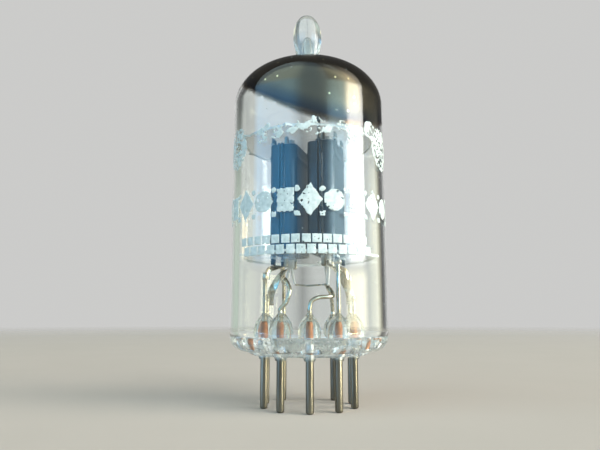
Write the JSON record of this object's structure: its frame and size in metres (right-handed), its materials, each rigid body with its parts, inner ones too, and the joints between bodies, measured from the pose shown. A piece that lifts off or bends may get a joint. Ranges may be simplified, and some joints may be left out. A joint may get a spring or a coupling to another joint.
{
  "type": "vacuum tube",
  "caption": "Miniature glass radio valve: sealed domed bulb with exhaust tip and dark getter mirror over two sheet-metal anodes, on a glass button base with plug-in pins.",
  "frame": {"origin": "centre of the seat, the flat underside of the glass button base", "axes": "+Z along the tube's axis to the exhaust tip, -Y towards pin 5, so the wide gap between pins 1 and 9 faces +Y"},
  "size_m": [0.0206, 0.0206, 0.0542],
  "materials": {
    "bulb_glass": "clear blown glass, polished, faintly blue",
    "stem_glass": "clear pressed glass, rippled",
    "getter_mirror": "vapour-deposited metal film, near-black mirror with brown edge",
    "marking_ink": "pale printing ink, worn and flaked",
    "pin_nickel": "drawn nickel wire, tarnished",
    "dumet_seal": "copper-clad seal wire, orange-red in the glass",
    "lead_nickel": "bright nickel wire and strip, heat-tinted at the welds",
    "mica_sheet": "split mica sheet, sprayed with magnesia, satin",
    "anode_metal": "carbonised nickel sheet, dark grey, satin",
    "grid_metal": "fine drawn wire, satin",
    "cathode_coat": "sprayed oxide coating, chalky white",
    "heater_coat": "sintered alumina coating, matt white",
    "getter_nickel": "pressed nickel channel, fired dark"
  },
  "bodies": {
    "root": {"bulb": "bulb_glass", "button_stem": "stem_glass", "getter_flash": "getter_mirror", "pin_1": "pin_nickel", "pin_2": "pin_nickel", "pin_3": "pin_nickel", "pin_4": "pin_nickel", "pin_5": "pin_nickel", "pin_6": "pin_nickel", "pin_7": "pin_nickel", "pin_8": "pin_nickel", "pin_9": "pin_nickel", "seal_wire_1": "dumet_seal", "seal_wire_2": "dumet_seal", "seal_wire_3": "dumet_seal", "seal_wire_4": "dumet_seal", "seal_wire_5": "dumet_seal", "seal_wire_6": "dumet_seal", "seal_wire_7": "dumet_seal", "seal_wire_8": "dumet_seal", "seal_wire_9": "dumet_seal", "lead_1": "lead_nickel", "lead_2": "lead_nickel", "lead_3": "lead_nickel", "lead_4": "lead_nickel", "lead_5": "lead_nickel", "lead_6": "lead_nickel", "lead_7": "lead_nickel", "lead_8": "lead_nickel", "lead_9": "lead_nickel", "bottom_mica": "mica_sheet", "top_mica": "mica_sheet", "anode_1_outer_half": "anode_metal", "anode_1_inner_half": "anode_metal", "grid_1_front_rod": "grid_metal", "grid_1_rear_rod": "grid_metal", "grid_1_winding": "grid_metal", "cathode_1": "cathode_coat", "heater_1": "heater_coat", "grid_1_strap": "lead_nickel", "cathode_1_strap": "lead_nickel", "anode_2_outer_half": "anode_metal", "anode_2_inner_half": "anode_metal", "grid_2_front_rod": "grid_metal", "grid_2_rear_rod": "grid_metal", "grid_2_winding": "grid_metal", "cathode_2": "cathode_coat", "heater_2": "heater_coat", "grid_2_strap": "lead_nickel", "cathode_2_strap": "lead_nickel", "heater_link": "lead_nickel", "getter_ring": "getter_nickel", "getter_post": "getter_nickel"}
  },
  "joints": []
}
